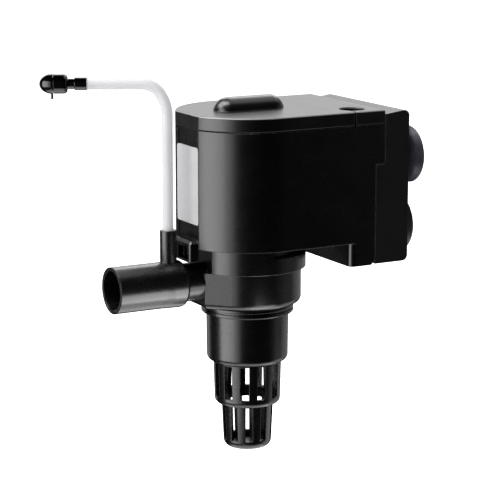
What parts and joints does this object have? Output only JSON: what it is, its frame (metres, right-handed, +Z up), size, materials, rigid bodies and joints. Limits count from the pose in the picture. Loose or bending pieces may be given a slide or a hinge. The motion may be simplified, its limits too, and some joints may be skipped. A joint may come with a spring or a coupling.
{
  "type": "submersible aquarium pump",
  "caption": "Submersible aquarium pump that hangs on the glass by suction cups, with a slotted intake strainer, a swivelling outlet pipe and an air tube with a turning valve.",
  "frame": {"origin": "in the plane of the suction cups' lips, midway between the cups", "axes": "+X into the glass, -X is where the outlet points, +Z up along the rotor's axis"},
  "size_m": [0.1543, 0.0676, 0.1668],
  "materials": {
    "casing": "satin moulded plastic",
    "lid": "satin moulded plastic",
    "bracket": "finely grained moulded plastic",
    "chamber": "satin moulded plastic",
    "outlet": "semi-gloss moulded plastic",
    "intake": "satin moulded plastic",
    "plate": "smooth bare plate",
    "gland": "soft rubber",
    "seal": "soft rubber",
    "cup": "glossy soft PVC, dark blue-grey",
    "tube": "translucent soft tube",
    "valve": "glossy plastic",
    "steel_stack": "laminated steel",
    "bobbin": "nylon",
    "copper": "enamelled copper wire",
    "resin": "cast resin",
    "ceramic": "ground ceramic",
    "ferrite": "sintered ferrite",
    "rotor_plastic": "moulded plastic"
  },
  "bodies": {
    "hanger": {"hanger_bracket": "bracket", "suction_cup_upper_near": "cup", "suction_cup_upper_far": "cup", "suction_cup_lower_near": "cup", "suction_cup_lower_far": "cup"},
    "pump": {"motor_housing": "casing", "top_lid": "lid", "cord_grommet": "gland", "rating_plate": "plate", "stator_core": "steel_stack", "coil_bobbin_near": "bobbin", "coil_bobbin_far": "bobbin", "coil_winding_near": "copper", "coil_winding_far": "copper", "potting_resin": "resin", "upper_shaft_seat": "seal", "rotor_shaft": "ceramic", "chamber_seal": "seal"},
    "rotor": {"rotor_magnet": "ferrite", "rotor_hub": "rotor_plastic", "impeller": "rotor_plastic"},
    "chamber": {"volute_chamber": "chamber", "lower_shaft_bush": "ceramic"},
    "outlet": {"outlet_pipe": "outlet", "air_tube": "tube", "air_valve_body": "valve"},
    "valve_cap": {"air_valve_cap": "valve", "air_valve_pin": "valve"},
    "adapter": {"retaining_ring": "intake", "intake_adapter": "intake"},
    "strainer": {"intake_strainer": "intake"}
  },
  "joints": [
    {"name": "pump_lift", "type": "slide", "parent": "hanger", "child": "pump", "axis": [0, 0, 1], "range_m": [0, 0.006]},
    {"name": "rotor_spin", "type": "hinge", "parent": "pump", "child": "rotor", "pos_m": [-0.0689, 0, 0], "axis": [0, 0, 1], "continuous": true},
    {"name": "chamber_twist", "type": "hinge", "parent": "pump", "child": "chamber", "pos_m": [-0.0689, 0, -0.0199], "axis": [0, 0, 1], "range_deg": [0, 40]},
    {"name": "outlet_swivel", "type": "hinge", "parent": "chamber", "child": "outlet", "pos_m": [-0.1013, 0, -0.0355], "axis": [1, 0, 0], "continuous": true},
    {"name": "valve_cap_turn", "type": "hinge", "parent": "outlet", "child": "valve_cap", "pos_m": [-0.14856, 0.02274, 0.0503], "axis": [-0.8763, 0.4818, 0], "range_deg": [0, 270]},
    {"name": "adapter_pull", "type": "slide", "parent": "chamber", "child": "adapter", "axis": [0, 0, -1], "range_m": [0, 0.006]},
    {"name": "strainer_pull", "type": "slide", "parent": "adapter", "child": "strainer", "axis": [0, 0, -1], "range_m": [0, 0.008]}
  ]
}
